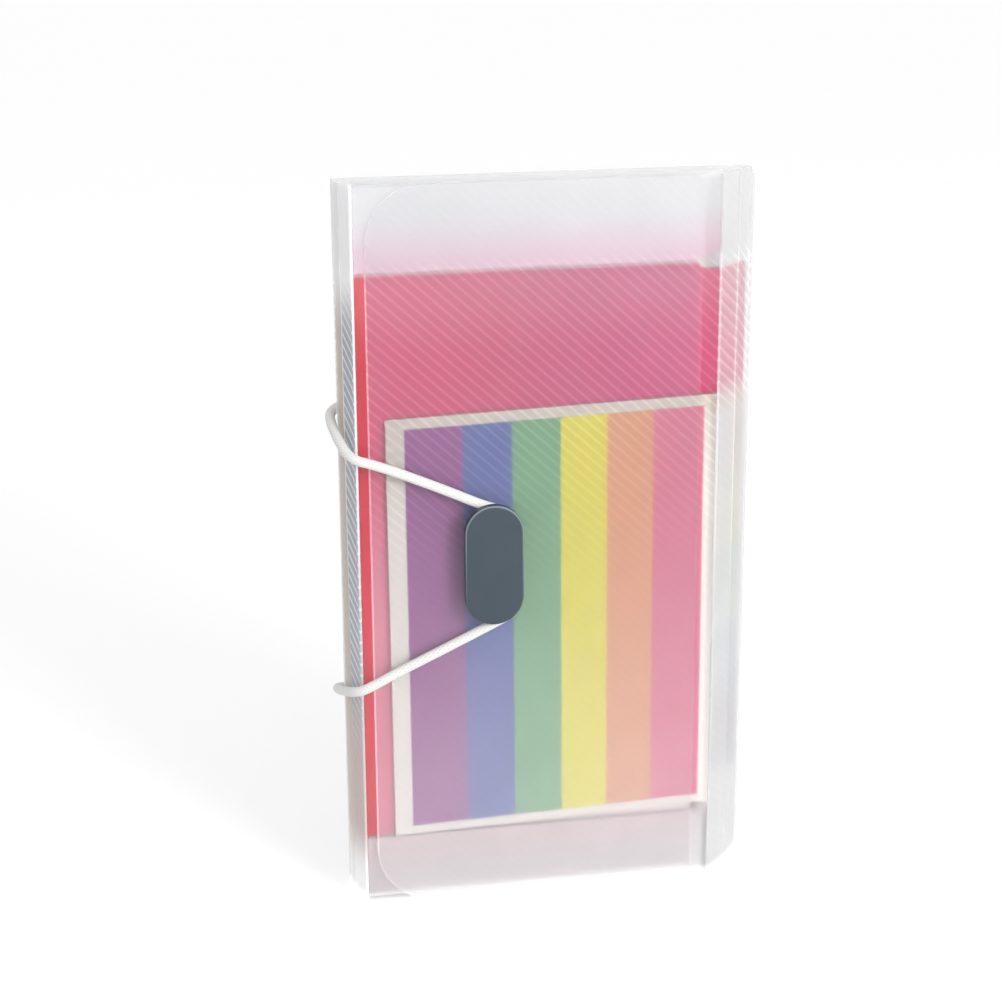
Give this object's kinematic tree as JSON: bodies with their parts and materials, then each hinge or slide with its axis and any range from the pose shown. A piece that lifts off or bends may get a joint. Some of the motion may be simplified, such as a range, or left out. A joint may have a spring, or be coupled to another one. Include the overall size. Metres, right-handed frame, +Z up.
{
  "type": "accordion file folder",
  "caption": "Tall slim expanding file of frosted plastic sheet with coloured tabbed dividers, pleated gussets, a wrap-over flap and an elastic band hooked on an oblong button.",
  "frame": {"origin": "centre of the folder's box on the face it stands on, measured without the elastic", "axes": "+Z up along the long side, -Y towards the front panel and flap, +X towards the pockets' opening"},
  "size_m": [0.1472, 0.0301, 0.252],
  "materials": {
    "cover_film": "frosted translucent polypropylene with a fine diagonal emboss",
    "gusset_film": "thin frosted film",
    "red_film": "translucent coloured film",
    "orange_film": "translucent coloured film",
    "yellow_film": "translucent coloured film",
    "green_film": "translucent coloured film",
    "blue_film": "translucent coloured film",
    "purple_film": "translucent coloured film",
    "printed_paper": "matt paper printed with plain vertical colour stripes",
    "button_plastic": "smooth slate grey-blue moulded plastic",
    "elastic": "white braided round elastic",
    "eyelet_plastic": "plain white moulded plastic"
  },
  "bodies": {
    "back_cover": {"back_panel": "cover_film", "spine_rear": "cover_film", "spine_front": "cover_film", "gusset_upper": "gusset_film", "gusset_lower": "gusset_film", "elastic_ends": "elastic", "eyelet_upper": "eyelet_plastic", "eyelet_lower": "eyelet_plastic", "elastic_bar_upper": "eyelet_plastic", "elastic_bar_lower": "eyelet_plastic"},
    "opening_strip": {"strip_rear": "cover_film", "strip_front": "cover_film"},
    "flap": {"flap_panel": "cover_film", "button_cap": "button_plastic", "button_post": "button_plastic", "rivet_plate": "button_plastic"},
    "front_cover": {"front_panel": "cover_film", "insert_sheet": "printed_paper"},
    "leaf_red": {"divider_red": "red_film"},
    "leaf_orange": {"divider_orange": "orange_film"},
    "leaf_yellow": {"divider_yellow": "yellow_film"},
    "leaf_green": {"divider_green": "green_film"},
    "leaf_blue": {"divider_blue": "blue_film"},
    "leaf_purple": {"divider_purple": "purple_film"},
    "elastic": {"elastic_loop": "elastic"}
  },
  "joints": [
    {"name": "cover_open", "type": "hinge", "parent": "back_cover", "child": "opening_strip", "pos_m": [0.071, 0.01185, 0.126], "axis": [0, 0, 1], "range_deg": [0, 131.16]},
    {"name": "flap_fold", "type": "hinge", "parent": "opening_strip", "child": "flap", "pos_m": [0.0557, -0.00565, 0.126], "axis": [0, 0, 1], "range_deg": [0, 48.84]},
    {"name": "front_fan", "type": "hinge", "parent": "back_cover", "child": "front_cover", "pos_m": [-0.0673, -0.00375, 0.126], "axis": [0, 0, 1], "range_deg": [-25, 0], "deforming": ["gusset_upper", "gusset_lower"]},
    {"name": "leaf_red_turn", "type": "hinge", "parent": "back_cover", "child": "leaf_red", "pos_m": [-0.0673, -0.00375, 0.126], "axis": [0, 0, 1], "range_deg": [-23.7, 0]},
    {"name": "leaf_orange_turn", "type": "hinge", "parent": "back_cover", "child": "leaf_orange", "pos_m": [-0.0673, -0.00375, 0.126], "axis": [0, 0, 1], "range_deg": [-20.1, 0]},
    {"name": "leaf_yellow_turn", "type": "hinge", "parent": "back_cover", "child": "leaf_yellow", "pos_m": [-0.0673, -0.00375, 0.126], "axis": [0, 0, 1], "range_deg": [-15.2, 0]},
    {"name": "leaf_green_turn", "type": "hinge", "parent": "back_cover", "child": "leaf_green", "pos_m": [-0.0673, -0.00375, 0.126], "axis": [0, 0, 1], "range_deg": [-9.9, 0]},
    {"name": "leaf_blue_turn", "type": "hinge", "parent": "back_cover", "child": "leaf_blue", "pos_m": [-0.0673, -0.00375, 0.126], "axis": [0, 0, 1], "range_deg": [-5, 0]},
    {"name": "leaf_purple_turn", "type": "hinge", "parent": "back_cover", "child": "leaf_purple", "pos_m": [-0.0673, -0.00375, 0.126], "axis": [0, 0, 1], "range_deg": [-1.4, 0]},
    {"name": "elastic_swing", "type": "hinge", "parent": "back_cover", "child": "elastic", "pos_m": [-0.0678, -0.0077, 0.126], "axis": [0, 0, 1], "range_deg": [-150, 0], "deforming": ["elastic_loop"]}
  ],
  "couplings": [
    {"joint": "flap_fold", "follows": "cover_open", "ratio": 0.37235},
    {"joint": "front_fan", "follows": "cover_open", "ratio": -0.1906},
    {"joint": "leaf_red_turn", "follows": "cover_open", "ratio": -0.18004},
    {"joint": "leaf_orange_turn", "follows": "cover_open", "ratio": -0.1528},
    {"joint": "leaf_yellow_turn", "follows": "cover_open", "ratio": -0.11558},
    {"joint": "leaf_green_turn", "follows": "cover_open", "ratio": -0.07502},
    {"joint": "leaf_blue_turn", "follows": "cover_open", "ratio": -0.0378},
    {"joint": "leaf_purple_turn", "follows": "cover_open", "ratio": -0.01056},
    {"joint": "elastic_swing", "follows": "cover_open", "ratio": -1.1436}
  ]
}
